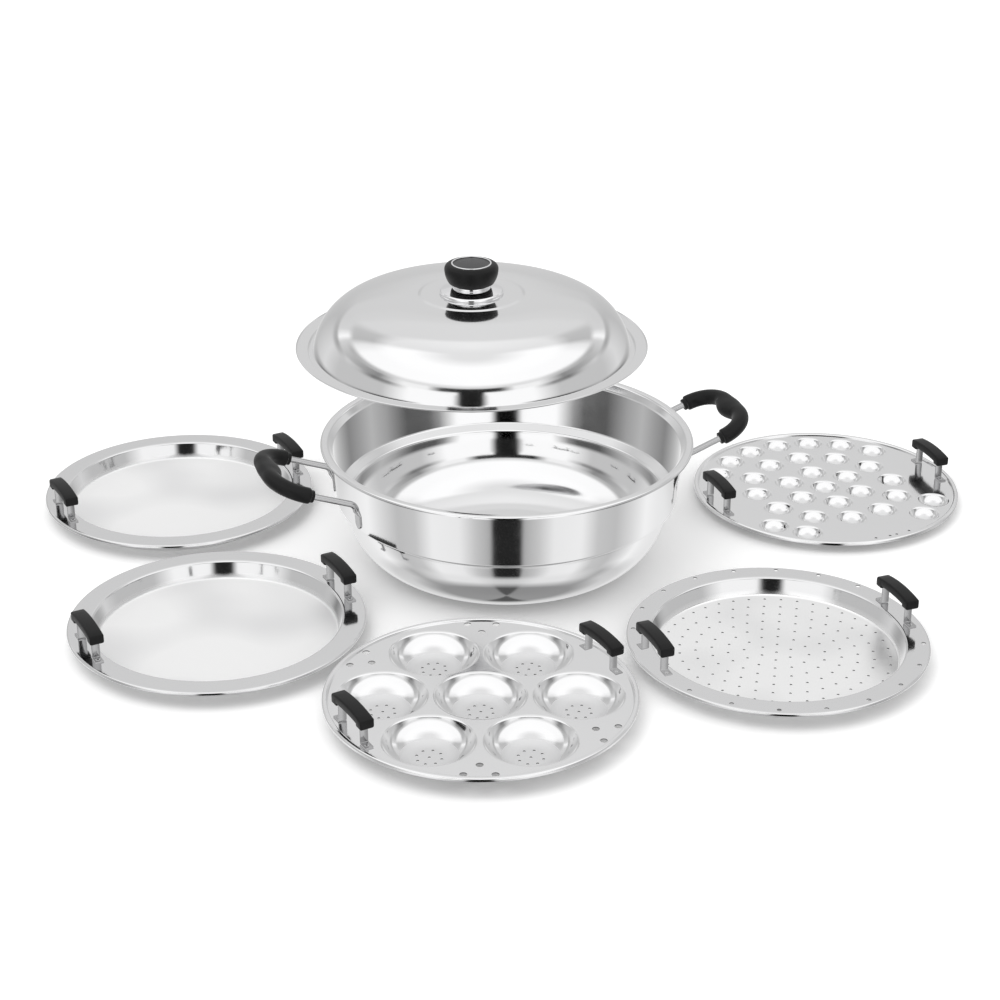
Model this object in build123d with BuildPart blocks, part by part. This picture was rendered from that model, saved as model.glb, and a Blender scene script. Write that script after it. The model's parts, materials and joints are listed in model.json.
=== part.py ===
from build123d import *
from math import acos, asin, atan2, cos, degrees, hypot, radians, sin, tan
import os

os.makedirs("parts", exist_ok=True)

# Idli steamer set, in millimetres. The pot stands on the floor with the centre of its base at the
# origin and +Z up. The lid is held raised behind it, and five plates lie on the floor round it.

# Pot body
pot_rim_radius = 165.0
pot_height = 115.0
pot_sheet = 1.0
rim_band = 6.0
rim_turn_down = 2.8
rim_bend = 1.2
flare_width = 4.0
flare_height = 6.0
band_height = 52.6
band_taper = 3.0
ledge_width = 9.0
ledge_fall = 4.4
ledge_bend = 2.0
wall_bend = 3.0
bowl_round_share = 0.96

# Pot handles
handle_turn = 19.0
rod_radius = 2.75
leg_spacing = 83.0
foot_length = 23.0
foot_width = 9.5
foot_thickness = 2.4
foot_margin = 4.0
foot_overlap_share = 0.4
weld_gap = 0.05
weld_mark_radius = 1.7
weld_mark_depth = 0.5
weld_mark_spacing = 8.5
handle_reach = 66.5
handle_rise = 20.2
rod_bend = 8.0
loop_bend = 27.0
grip_straight = 1.8
grip_thickness = 14.0
grip_width = 15.0
grip_swell_thickness = 16.0
grip_swell_width = 21.0
grip_swell_inward = 2.0
grip_swell_length = 44.0
grip_collar_radius = 5.4
grip_collar_length = 3.0
grip_bore_gap = 0.1
grip_end_round = 2.0
dish_sphere_radius = 42.0
dish_depth = 1.1

# Lid, and where it is held
lid_inset = 3.0
lid_sheet = 0.8
lid_fit_gap = 3.0
lid_seat_gap = 0.3
lid_dome_height = 50.0
groove_width = 5.7
groove_depth = 2.0
groove_bend = 1.1
lid_lip = 1.4
plateau_radius = 46.0
plateau_step = 1.0
plateau_bend = 3.0
crown_reach_share = 0.72
crown_fall = 5.5
lid_lift = 45.0
lid_shift = 112.6
lid_shift_turn = 106.5

# Knob stack
collar_base_radius = 27.5
collar_rim_radius = 30.0
collar_neck_radius = 18.8
collar_waist_radius = 17.2
collar_waist_height = 5.4
collar_rim_height = 1.6
collar_height = 9.8
collar_sheet = 1.0
collar_bend = 1.2
knob_base_radius = 20.5
knob_foot_round = 1.4
knob_radius = 24.7
knob_height = 18.4
knob_widest_share = 0.72
knob_shoulder_share = 0.71
knob_ring_radius = 18.5
knob_ring_width = 1.6
knob_ring_height = 2.2
knob_disc_drop = 0.5
knob_disc_thickness = 1.6
insert_radius = 5.0
insert_length = 10.0
screw_radius = 2.5
screw_head_radius = 5.0
screw_head_height = 3.0
screw_engagement = 7.0
screw_slot_width = 1.2
screw_slot_depth = 1.4
washer_radius = 9.0
washer_thickness = 1.2
bore_gap = 0.05

# Plates: sizes that all five share
plate_wall_gap = 17.0
plate_sheet = 0.8
plate_bend = 1.5
plate_edge_drop = 1.6

# Deep trays, plain and perforated
tray_depth = 15.5
tray_flange = 19.0
tray_wall_lean = 4.5
tray_floor_bend = 3.0

# Idli plate
idli_depth = 15.5
idli_ring_count = 6
idli_first_turn = 30.0
idli_edge_web = 6.4
idli_web = 4.4
idli_round_share = 0.94
cavity_lean_share = 0.5
cavity_lip = 1.6
cavity_lip_bend = 1.4
bead_width = 4.4
bead_height = 2.2
bead_lean = 0.9
bead_bend = 0.85
idli_hole_radius = 1.1
idli_hole_pitch = 10.0
idli_hole_count = 8
vent_turns = (60.0, 120.0, 240.0, 300.0)
vent_radius = 3.0
vent_pitch = 24.0
vent_edge = 8.8
vent_step_in = 13.8

# Mini idli plate
mini_depth = 8.5
mini_rings = 3
mini_web = 6.7
mini_edge_web = 3.9
mini_round_share = 0.9
mini_vent_radius = 1.3
mini_first_turn = -36.0
mini_inner_count = 6
mini_middle_count = 12
mini_outer_count = 20
mini_outer_steps = (-8, -7, -3, -2, 2, 3, 4, 5, 6, 7, 8)
mini_vent_steps = (-5.2, -4.8, -4.6, -4.2)
mini_vent_edge = 10.0

# Holes of the perforated tray
steam_hole_radius = 1.1
steam_ring_count = 7
steam_inner_count = 6
steam_edge_gap = 7.6
flange_hole_radius = 1.9
flange_hole_edge = 5.5
flange_hole_count = 20
flange_hole_clear_turn = 16.0

# Plate handles
bracket_edge_gap = 13.0
bracket_width = 7.0
bracket_thickness = 1.2
bracket_spacing = 38.0
bracket_height = 21.0
bracket_foot = 8.5
bracket_bend = 1.6
lifter_length = 50.0
lifter_width = 12.0
lifter_end_top = 23.5
lifter_end_depth = 8.0
lifter_crown = 26.0
lifter_thickness = 7.5
lifter_end_land = 8.0
lifter_round = 1.5
lifter_gap = 0.1
rivet_radius = 1.4
rivet_head_radius = 2.6
rivet_head_height = 1.0
rivet_tail_radius = 2.3
rivet_tail_height = 0.8
rivet_head_round_share = 0.6

# Places of the plates on the floor: how far out they lie, as shares of the pot's and a plate's
# radius together, and the gaps between neighbours' edges
idli_turn = 265.7
idli_distance_share = 0.975
front_tray_distance_share = 0.995
steam_distance_share = 1.004
back_tray_distance_share = 1.13
mini_distance_share = 1.133
gap_front = 6.5
gap_right = 13.0
gap_left = 18.0
gap_far_right = 68.0
tray_handle_turn = 28.0
idli_handle_turn = 30.0
steam_handle_turn = 21.0
mini_handle_turn = 19.5

overrun = 3.0


def save(piece, name):
    piece.part.label = name
    export_step(piece.part, f"parts/{name}.step")


# The upright plane through a base plane's axis, with x outward and y up
def section(base):
    return Plane(base.origin, x_dir=base.x_dir, z_dir=-base.y_dir)


def axis_of(base):
    return Axis(base.origin, base.z_dir)


# A round sheet pressing: the path of its underside, with a bend at each corner, and its thickness
def spin_sheet(base, points, bends, thickness):
    with BuildPart() as shell:
        with BuildSketch(section(base)):
            with BuildLine():
                FilletPolyline(*points, radius=bends)
                offset(amount=thickness, side=Side.LEFT)
            make_face()
        revolve(axis=axis_of(base))
    return shell


# Sizes that several pieces share
ledge_height = pot_height - band_height
ledge_low = ledge_height - ledge_fall
band_top = pot_height - pot_sheet - flare_height
band_top_radius = pot_rim_radius - rim_band - flare_width
band_low_radius = band_top_radius - band_taper
bowl_radius = band_low_radius - ledge_width
bowl_round = bowl_round_share * ledge_low
plate_radius = bowl_radius - pot_sheet - plate_wall_gap
bracket_reach = plate_radius - bracket_edge_gap
pot_base = Plane.XY


def wall_radius(height):
    return band_low_radius + band_taper * (height - ledge_height) / (band_top - ledge_height)


# Pot body: flat base, round bowl, ledge, tapered band, flare and flat rim with its edge turned down
def make_pot_body():
    rim_edge = pot_rim_radius - pot_sheet
    points = [
        (0, 0),
        (bowl_radius, 0),
        (bowl_radius, ledge_low),
        (band_low_radius, ledge_height),
        (band_top_radius, band_top),
        (band_top_radius + flare_width, pot_height - pot_sheet),
        (rim_edge, pot_height - pot_sheet),
        (rim_edge, pot_height - rim_turn_down),
    ]
    bends = [bowl_round, ledge_bend, wall_bend, wall_bend, wall_bend, rim_bend]
    return spin_sheet(pot_base, points, bends, pot_sheet)


# Pot handle: a rod whose flattened feet stand on the band wall, and its grip
foot_low = ledge_height + foot_margin
foot_middle = foot_low + foot_length / 2
foot_top = foot_low + foot_length


# A point on the leg's line, as far out of the wall as its offset
def leg_point(base, side, height, outward):
    reach = wall_radius(height) + weld_gap + outward
    turn = asin(leg_spacing / 2 / (wall_radius(foot_top) + rod_radius))
    return base.from_local_coords((reach * cos(turn), side * reach * sin(turn), height))


def leg_corner(base, side, outward):
    knee = base.to_local_coords(leg_point(base, side, foot_top, rod_radius))
    return base.from_local_coords(
        (knee.X + outward, knee.Y, knee.Z + outward * tan(radians(handle_rise)))
    )


def rod_path(base):
    rise_height = foot_low + foot_length * foot_overlap_share
    points = [
        leg_point(base, 1, rise_height, rod_radius),
        leg_point(base, 1, foot_top, rod_radius),
        leg_corner(base, 1, handle_reach),
        leg_corner(base, -1, handle_reach),
        leg_point(base, -1, foot_top, rod_radius),
        leg_point(base, -1, rise_height, rod_radius),
    ]
    return FilletPolyline(*points, radius=[rod_bend, loop_bend, loop_bend, rod_bend])


# The plane of one foot: tangent to the wall at the leg, with y up the wall
def foot_plane(base, side):
    heel = leg_point(base, side, foot_middle, 0)
    top = leg_point(base, side, foot_top, 0)
    up = (top - heel).normalized()
    radial = Vector(heel.X, heel.Y, 0).normalized()
    around = Vector(0, 0, 1).cross(radial)
    return Plane(heel, x_dir=around, z_dir=around.cross(up))


def make_handle_rod(base):
    with BuildPart() as rod:
        with BuildLine():
            path = rod_path(base)
        with BuildSketch(Plane(path @ 0, z_dir=path % 0)):
            Circle(rod_radius)
        sweep(path=path)
        for side in (1, -1):
            foot = foot_plane(base, side)
            with BuildSketch(foot):
                SlotOverall(foot_length, foot_width, rotation=90)
            extrude(amount=foot_thickness)
            with BuildSketch(foot.offset(foot_thickness)):
                with Locations((0, -foot_length / 2 + foot_width / 2),
                               (0, -foot_length / 2 + foot_width / 2 - weld_mark_spacing / 2)):
                    Circle(weld_mark_radius)
            extrude(amount=-weld_mark_depth, mode=Mode.SUBTRACT)
    return rod


# The grip's own frame: x along the handle's slope, y across it, z square to both
def grip_plane(base):
    knee = leg_corner(base, 1, 0)
    far = leg_corner(base, 1, handle_reach)
    middle = (far + leg_corner(base, -1, handle_reach)) * 0.5
    along = (far - knee).normalized()
    return Plane(middle, x_dir=along, z_dir=along.cross(base.y_dir))


def make_handle_grip(base):
    frame = grip_plane(base)
    grip_start = handle_reach - (loop_bend + grip_straight) * cos(radians(handle_rise))
    start = [leg_corner(base, side, grip_start) for side in (1, -1)]
    with BuildPart() as grip:
        with BuildLine():
            path = FilletPolyline(
                start[0],
                leg_corner(base, 1, handle_reach),
                leg_corner(base, -1, handle_reach),
                start[1],
                radius=[loop_bend, loop_bend],
            )
        with BuildSketch(Plane(path @ 0, x_dir=frame.z_dir, z_dir=path % 0)):
            Ellipse(grip_thickness / 2, grip_width / 2)
        sweep(path=path)
        fillet(grip.edges().filter_by(GeomType.ELLIPSE), radius=grip_end_round)
        for end in start:
            with BuildSketch(Plane(end, z_dir=-frame.x_dir)):
                Circle(grip_collar_radius)
            extrude(amount=grip_collar_length)
        # The swelling in the middle, which reaches inward
        for side, share in ((-1, 0), (0, 1), (1, 0)):
            across = Plane(
                frame.from_local_coords((-share * grip_swell_inward, side * grip_swell_length / 2, 0)),
                x_dir=frame.x_dir,
                z_dir=frame.y_dir,
            )
            wide = grip_width + share * (grip_swell_width - grip_width)
            thick = grip_thickness + share * (grip_swell_thickness - grip_thickness)
            with BuildSketch(across):
                Ellipse(wide / 2, thick / 2)
        loft()
        # The thumb dish on top
        dish_height = grip_swell_thickness / 2 - dish_depth + dish_sphere_radius
        with Locations(frame.from_local_coords((-grip_swell_inward, 0, dish_height))):
            Sphere(dish_sphere_radius, mode=Mode.SUBTRACT)
        # The bore that the rod runs through
        with BuildLine():
            bore = rod_path(base)
        with BuildSketch(Plane(bore @ 0, z_dir=bore % 0)):
            Circle(rod_radius + grip_bore_gap)
        sweep(path=bore, mode=Mode.SUBTRACT)
    return grip


# Lid: flange on the pot's rim, groove inside the wall, shoulders, crown and a plateau for the knob
lid_radius = pot_rim_radius - lid_inset
groove_radius = band_top_radius - pot_sheet - lid_fit_gap
dome_radius = groove_radius - groove_width
lid_seat = pot_height + lid_seat_gap
lid_place = Plane(
    (
        lid_shift * cos(radians(lid_shift_turn)),
        lid_shift * sin(radians(lid_shift_turn)),
        lid_seat + lid_lift,
    )
)


def make_lid_shell():
    top = lid_dome_height
    step_end = plateau_radius + 2 * plateau_bend
    with BuildPart() as shell:
        with BuildSketch(section(lid_place)):
            with BuildLine():
                plateau = FilletPolyline(
                    (0, top),
                    (plateau_radius, top),
                    (plateau_radius + plateau_bend, top - plateau_step),
                    (step_end + plateau_bend, top - plateau_step),
                    radius=[plateau_bend, plateau_bend],
                )
                crown = TangentArc(
                    plateau @ 1,
                    (crown_reach_share * dome_radius, top - plateau_step - crown_fall),
                    tangent=plateau % 1,
                )
                shoulder = TangentArc(crown @ 1, (dome_radius, 0), tangent=crown % 1)
                FilletPolyline(
                    shoulder @ 1,
                    (dome_radius, -groove_depth),
                    (groove_radius - lid_sheet, -groove_depth),
                    (groove_radius, 0),
                    (lid_radius - lid_sheet, 0),
                    (lid_radius, lid_lip),
                    radius=[groove_bend, groove_bend, groove_bend, groove_bend],
                )
                offset(amount=lid_sheet, side=Side.LEFT)
            make_face()
        revolve(axis=axis_of(lid_place))
        with BuildSketch(lid_place.offset(top - overrun)):
            Circle(screw_radius + bore_gap)
        extrude(amount=2 * overrun + lid_sheet, mode=Mode.SUBTRACT)
    return shell


knob_stack = lid_place.offset(lid_dome_height + lid_sheet)
knob_base = knob_stack.offset(collar_height)


def make_knob_collar():
    skirt = collar_rim_radius - collar_sheet + collar_bend
    points = [
        (screw_radius + bore_gap, collar_height - collar_sheet),
        (collar_neck_radius - collar_sheet, collar_height - collar_sheet),
        (collar_waist_radius - collar_sheet, collar_waist_height),
        (skirt, collar_rim_height),
        (collar_base_radius, 0),
    ]
    with BuildPart() as collar:
        with BuildSketch(section(knob_stack)):
            with BuildLine():
                FilletPolyline(*points, radius=collar_bend)
                offset(amount=collar_sheet, side=Side.LEFT)
            make_face()
            # The foot of the skirt is trimmed level, so that it stands on the lid
            with Locations((collar_base_radius, -overrun / 2)):
                Rectangle(2 * collar_base_radius, overrun, mode=Mode.SUBTRACT)
        revolve(axis=axis_of(knob_stack))
    return collar


def make_knob():
    widest = knob_height * knob_widest_share
    recess = knob_ring_radius - knob_ring_width
    with BuildPart() as knob:
        with BuildSketch(section(knob_base)):
            with BuildLine():
                Line((0, 0), (knob_base_radius, 0))
                TangentArc((knob_radius, widest), (knob_base_radius, 0), tangent=(0, -1))
                ThreePointArc(
                    (knob_radius, widest),
                    (
                        knob_ring_radius + (knob_radius - knob_ring_radius) * knob_shoulder_share,
                        widest + (knob_height - widest) * knob_shoulder_share,
                    ),
                    (knob_ring_radius, knob_height),
                )
                Line((knob_ring_radius, knob_height), (0, knob_height))
                Line((0, knob_height), (0, 0))
            make_face()
        revolve(axis=axis_of(knob_base))
        foot = knob.faces().sort_by(axis_of(knob_base))[0]
        fillet(foot.edges(), radius=knob_foot_round)
        # Groove for the bright ring and recess for the dark cap
        with BuildSketch(knob_base.offset(knob_height)):
            Circle(knob_ring_radius - knob_ring_width / 2)
        extrude(amount=-(knob_ring_height - knob_disc_drop), mode=Mode.SUBTRACT)
        # Bores for the threaded insert and the screw's end
        with BuildSketch(knob_base):
            Circle(insert_radius + bore_gap)
        extrude(amount=insert_length, mode=Mode.SUBTRACT)
        with BuildSketch(knob_base.offset(knob_height)):
            Circle(knob_ring_radius)
            Circle(recess, mode=Mode.SUBTRACT)
        extrude(amount=-knob_ring_height, mode=Mode.SUBTRACT)
    return knob


def make_knob_ring():
    with BuildPart() as ring:
        with BuildSketch(knob_base.offset(knob_height - knob_ring_height)):
            Circle(knob_ring_radius - bore_gap)
            Circle(knob_ring_radius - knob_ring_width, mode=Mode.SUBTRACT)
        extrude(amount=knob_ring_height + knob_disc_drop)
        crest = ring.faces().sort_by(axis_of(knob_base))[-1]
        fillet(crest.edges(), radius=knob_disc_drop)
    return ring


def make_knob_disc():
    radius = knob_ring_radius - knob_ring_width - bore_gap
    with BuildPart() as disc:
        with BuildSketch(knob_base.offset(knob_height - knob_ring_height + knob_disc_drop)):
            Circle(radius)
        extrude(amount=knob_disc_thickness)
        crest = disc.faces().sort_by(axis_of(knob_base))[-1]
        chamfer(crest.edges(), length=knob_disc_drop)
    return disc


def make_knob_insert():
    with BuildPart() as insert:
        with BuildSketch(knob_base):
            Circle(insert_radius)
            Circle(screw_radius + bore_gap, mode=Mode.SUBTRACT)
        extrude(amount=insert_length)
    return insert


def make_knob_washer():
    with BuildPart() as washer:
        with BuildSketch(lid_place.offset(lid_dome_height - washer_thickness)):
            Circle(washer_radius)
            Circle(screw_radius + bore_gap, mode=Mode.SUBTRACT)
        extrude(amount=washer_thickness)
    return washer


def make_knob_screw():
    head_top = lid_dome_height - washer_thickness
    shank = washer_thickness + lid_sheet + collar_height + screw_engagement
    with BuildPart() as screw:
        with BuildSketch(lid_place.offset(head_top - screw_head_height)):
            Circle(screw_head_radius)
        extrude(amount=screw_head_height)
        bottom = screw.faces().sort_by(axis_of(lid_place))[0]
        fillet(bottom.edges(), radius=screw_head_height / 2)
        with BuildSketch(lid_place.offset(head_top)):
            Circle(screw_radius)
        extrude(amount=shank)
        with BuildSketch(lid_place.offset(head_top - screw_head_height)):
            Rectangle(2 * screw_head_radius, screw_slot_width)
        extrude(amount=screw_slot_depth, mode=Mode.SUBTRACT)
    return screw


# Where each plate lies: its distance and its turn round the pot
def distance(share):
    return share * (pot_rim_radius + plate_radius)


# The turn between two plates at given distances whose edges keep a gap
def turn_between(first, second, gap):
    apart = 2 * plate_radius + gap
    return degrees(acos((first ** 2 + second ** 2 - apart ** 2) / (2 * first * second)))


idli_distance = distance(idli_distance_share)
front_tray_distance = distance(front_tray_distance_share)
steam_distance = distance(steam_distance_share)
back_tray_distance = distance(back_tray_distance_share)
mini_distance = distance(mini_distance_share)
front_tray_turn = idli_turn - turn_between(idli_distance, front_tray_distance, gap_front)
steam_turn = idli_turn + turn_between(idli_distance, steam_distance, gap_right)
back_tray_turn = front_tray_turn - turn_between(front_tray_distance, back_tray_distance, gap_left)
mini_turn = steam_turn + turn_between(steam_distance, mini_distance, gap_far_right)


# A plate's own frame on the floor, turned so that x points at its first handle
def plate_place(reach, turn, own_turn):
    centre = (reach * cos(radians(turn)), reach * sin(radians(turn)), 0)
    heading = (cos(radians(own_turn)), sin(radians(own_turn)), 0)
    return Plane(centre, x_dir=heading, z_dir=(0, 0, 1))


# Rivet places: outside the bracket's legs, on the lines of both handles
rivet_spread = bracket_spacing / 2 + bracket_foot / 2


def rivet_spots():
    return [(way * bracket_reach, side * rivet_spread) for way in (1, -1) for side in (1, -1)]


# Round discs at places in a plate's own frame, from just under its sheet at a height to above it
def pins(base, height, places, radius):
    with BuildPart() as pegs:
        with BuildSketch(base.offset(height - overrun)):
            with Locations(*places):
                Circle(radius)
        extrude(amount=2 * overrun + plate_sheet)
    return pegs.part


def ring_places(radius, turns):
    return [(radius * cos(radians(turn)), radius * sin(radians(turn))) for turn in turns]


def full_ring(radius, count, first_turn=0.0):
    return ring_places(radius, [first_turn + 360 * step / count for step in range(count)])


# Deep tray: flat floor, leaning wall and a wide flange with its edge turned down
def tray_shell(base):
    wall_foot = plate_radius - tray_flange - tray_wall_lean
    edge = plate_radius - plate_sheet
    points = [
        (0, 0),
        (wall_foot, 0),
        (plate_radius - tray_flange, tray_depth),
        (edge, tray_depth),
        (edge, tray_depth - plate_edge_drop),
    ]
    return spin_sheet(base, points, [tray_floor_bend, plate_bend, plate_edge_drop / 2], plate_sheet)


def make_tray(base):
    with BuildPart() as tray:
        add(tray_shell(base).part)
        add(pins(base, tray_depth, rivet_spots(), rivet_radius + bore_gap), mode=Mode.SUBTRACT)
    return tray


def make_steam_tray(base):
    floor_reach = plate_radius - tray_flange - tray_wall_lean - steam_edge_gap
    floor_holes = [(0, 0)]
    for ring in range(1, steam_ring_count + 1):
        floor_holes += full_ring(floor_reach * ring / steam_ring_count, steam_inner_count * ring)
    pitch = 360 / flange_hole_count
    flange_turns = [(step + 0.5) * pitch for step in range(flange_hole_count)]
    clear_turns = [
        turn for turn in flange_turns
        if min(turn % 180, 180 - turn % 180) > flange_hole_clear_turn
    ]
    with BuildPart() as tray:
        add(tray_shell(base).part)
        add(pins(base, 0, floor_holes, steam_hole_radius), mode=Mode.SUBTRACT)
        add(pins(base, tray_depth, ring_places(plate_radius - flange_hole_edge, clear_turns),
              flange_hole_radius), mode=Mode.SUBTRACT)
        add(pins(base, tray_depth, rivet_spots(), rivet_radius + bore_gap), mode=Mode.SUBTRACT)
    return tray


# A flat plate with a raised bead at its edge, standing as high as its cavities are deep
def beaded_disc(base, depth):
    inner = plate_radius - bead_width
    crest = depth + bead_height
    points = [
        (0, depth),
        (inner, depth),
        (inner + bead_lean, crest),
        (plate_radius - plate_sheet, crest),
        (plate_radius - plate_sheet, depth),
    ]
    return spin_sheet(base, points, [bead_bend, bead_bend, bead_bend], plate_sheet)


# One bowl-shaped cavity with a small flat floor, as a sheet from its middle to its lip in the plate
def cavity(base, radius, depth, round_share):
    lean = cavity_lean_share * depth
    side = hypot(lean, depth)
    side_bend = round_share * side / tan(atan2(depth, lean) / 2)
    points = [(0, 0), (radius - lean, 0), (radius, depth), (radius + cavity_lip, depth)]
    return spin_sheet(base, points, [side_bend, cavity_lip_bend], plate_sheet)


def make_cavity_plate(base, places, radius, depth, round_share):
    with BuildPart() as plate:
        add(beaded_disc(base, depth).part)
        with BuildSketch(base.offset(depth - overrun)):
            with Locations(*places):
                Circle(radius + cavity_lip)
        extrude(amount=2 * overrun + plate_sheet, mode=Mode.SUBTRACT)
        for x, y in places:
            spot = Plane(base.from_local_coords((x, y, 0)), x_dir=base.x_dir, z_dir=base.z_dir)
            add(cavity(spot, radius, depth, round_share).part)
        add(pins(base, depth, rivet_spots(), rivet_radius + bore_gap), mode=Mode.SUBTRACT)
    return plate


idli_radius = (plate_radius - bead_width - idli_edge_web - idli_web) / 3
idli_ring = 2 * idli_radius + idli_web


def make_idli_plate(base):
    places = [(0, 0)] + full_ring(idli_ring, idli_ring_count, idli_first_turn)
    group = [(0, 0)] + full_ring(idli_hole_pitch, idli_hole_count)
    holes = [(x + hole_x, y + hole_y) for x, y in places for hole_x, hole_y in group]
    spread = degrees(vent_pitch / 2 / (plate_radius - vent_edge))
    vents = []
    for turn in vent_turns:
        vents += ring_places(plate_radius - vent_edge, [turn - spread, turn + spread])
        vents += ring_places(plate_radius - vent_edge - vent_step_in, [turn])
    with BuildPart() as plate:
        add(make_cavity_plate(base, places, idli_radius, idli_depth, idli_round_share).part)
        add(pins(base, 0, holes, idli_hole_radius), mode=Mode.SUBTRACT)
        add(pins(base, idli_depth, vents, vent_radius), mode=Mode.SUBTRACT)
    return plate


# The rings of small cavities and the webs between them fill the plate up to its edge web
mini_room = plate_radius - bead_width - mini_edge_web - mini_rings * mini_web
mini_radius = mini_room / (2 * mini_rings + 1)
mini_pitch = 2 * mini_radius + mini_web


def make_mini_plate(base):
    outer_turn = 360 / mini_outer_count
    places = [(0, 0)]
    places += full_ring(mini_pitch, mini_inner_count, mini_first_turn)
    places += full_ring(2 * mini_pitch, mini_middle_count, mini_first_turn)
    places += ring_places(mini_rings * mini_pitch, [outer_turn * step for step in mini_outer_steps])
    mini_vent_turns = [outer_turn * step for step in mini_vent_steps]
    vents = ring_places(plate_radius - mini_vent_edge, mini_vent_turns)
    with BuildPart() as plate:
        add(make_cavity_plate(base, places, mini_radius, mini_depth, mini_round_share).part)
        add(pins(base, mini_depth, vents, mini_vent_radius), mode=Mode.SUBTRACT)
    return plate


# Plate handle: a bent strip with its feet on the plate, a grip over its top, and rivets
def handle_plane(base, way, height):
    origin = base.from_local_coords((way * bracket_reach, 0, height))
    return Plane(origin, x_dir=way * base.y_dir, z_dir=way * base.x_dir)


def make_bracket(base, way, seat):
    upright = handle_plane(base, way, seat)
    leg = bracket_spacing / 2 - bracket_thickness
    foot_end = bracket_spacing / 2 + bracket_foot
    crest = bracket_height - bracket_thickness
    points = [(foot_end, 0), (leg, 0), (leg, crest), (-leg, crest), (-leg, 0), (-foot_end, 0)]
    with BuildPart() as bracket:
        with BuildSketch(upright):
            with BuildLine():
                FilletPolyline(*points, radius=bracket_bend)
                offset(amount=bracket_thickness, side=Side.RIGHT)
            make_face()
        extrude(amount=bracket_width / 2, both=True)
        with BuildSketch(base.offset(seat - overrun)):
            with Locations(*[(way * bracket_reach, side * rivet_spread) for side in (1, -1)]):
                Circle(rivet_radius + bore_gap)
        extrude(amount=2 * overrun, mode=Mode.SUBTRACT)
    return bracket


def make_lifter(base, way, seat):
    upright = handle_plane(base, way, seat)
    half = lifter_length / 2
    land = half - lifter_end_land
    end_low = lifter_end_top - lifter_end_depth
    with BuildPart() as lifter:
        with BuildSketch(upright):
            with BuildLine():
                ThreePointArc((-half, lifter_end_top), (0, lifter_crown), (half, lifter_end_top))
                Polyline((half, lifter_end_top), (half, end_low), (land, end_low))
                ThreePointArc((land, end_low), (0, lifter_crown - lifter_thickness), (-land, end_low))
                Polyline((-land, end_low), (-half, end_low), (-half, lifter_end_top))
            make_face()
        extrude(amount=lifter_width / 2, both=True)
        fillet(lifter.edges().filter_by(Axis(upright.origin, upright.z_dir)), radius=lifter_round)
        # Slot from below for the bracket's top and legs
        slot_top = bracket_height + lifter_gap
        slot_low = end_low - overrun
        with BuildSketch(upright):
            with Locations((0, (slot_top + slot_low) / 2)):
                Rectangle(bracket_spacing + 2 * lifter_gap, slot_top - slot_low)
        extrude(amount=bracket_width / 2 + lifter_gap, both=True, mode=Mode.SUBTRACT)
    return lifter


def make_rivets(base, seat):
    head_seat = seat + bracket_thickness
    with BuildPart() as rivets:
        with BuildSketch(base.offset(head_seat)):
            with Locations(*rivet_spots()):
                Circle(rivet_head_radius)
        extrude(amount=rivet_head_height)
        tops = rivets.faces().group_by(axis_of(base))[-1]
        fillet(tops.edges(), radius=rivet_head_round_share * rivet_head_height)
        with BuildSketch(base.offset(seat - plate_sheet - rivet_tail_height)):
            with Locations(*rivet_spots()):
                Circle(rivet_tail_radius)
        extrude(amount=rivet_tail_height)
        with BuildSketch(base.offset(seat - plate_sheet - rivet_tail_height / 2)):
            with Locations(*rivet_spots()):
                Circle(rivet_radius)
        extrude(amount=plate_sheet + bracket_thickness + rivet_tail_height / 2 + rivet_head_height / 2)
    return rivets


def save_plate(name, plate, base, seat):
    save(plate, name)
    for way, hand in ((1, "right"), (-1, "left")):
        save(make_bracket(base, way, seat), f"{name}_{hand}_bracket")
        save(make_lifter(base, way, seat), f"{name}_{hand}_grip")
    save(make_rivets(base, seat), f"{name}_rivets")


# Pot
save(make_pot_body(), "pot_body")
for hand, turn in (("right", handle_turn), ("left", handle_turn + 180)):
    handle_base = pot_base.rotated((0, 0, turn))
    save(make_handle_rod(handle_base), f"{hand}_handle_rod")
    save(make_handle_grip(handle_base), f"{hand}_grip")

# Lid
save(make_lid_shell(), "lid_shell")
save(make_knob_collar(), "knob_collar")
save(make_knob(), "knob")
save(make_knob_ring(), "knob_ring")
save(make_knob_disc(), "knob_disc")
save(make_knob_insert(), "knob_insert")
save(make_knob_washer(), "knob_washer")
save(make_knob_screw(), "knob_screw")

# Plates
back_place = plate_place(back_tray_distance, back_tray_turn, tray_handle_turn)
front_place = plate_place(front_tray_distance, front_tray_turn, tray_handle_turn)
idli_place = plate_place(idli_distance, idli_turn, idli_handle_turn)
steam_place = plate_place(steam_distance, steam_turn, steam_handle_turn)
mini_place = plate_place(mini_distance, mini_turn, mini_handle_turn)
save_plate("back_tray", make_tray(back_place), back_place, tray_depth + plate_sheet)
save_plate("front_tray", make_tray(front_place), front_place, tray_depth + plate_sheet)
save_plate("idli_plate", make_idli_plate(idli_place), idli_place, idli_depth + plate_sheet)
save_plate("steam_tray", make_steam_tray(steam_place), steam_place, tray_depth + plate_sheet)
save_plate("mini_idli_plate", make_mini_plate(mini_place), mini_place, mini_depth + plate_sheet)

for name, place in (("back tray", back_place), ("front tray", front_place), ("idli plate", idli_place),
                    ("steam tray", steam_place), ("mini idli plate", mini_place)):
    print(f"{name} at x {place.origin.X:.1f}, y {place.origin.Y:.1f}")
print(f"plate radius {plate_radius:.2f}, idli cavity radius {idli_radius:.2f}")
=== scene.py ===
import json
from math import atan2, ceil, cos, hypot, pi, radians, sin, tan

import bpy
import bmesh
from mathutils import Matrix, Vector, geometry


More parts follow.
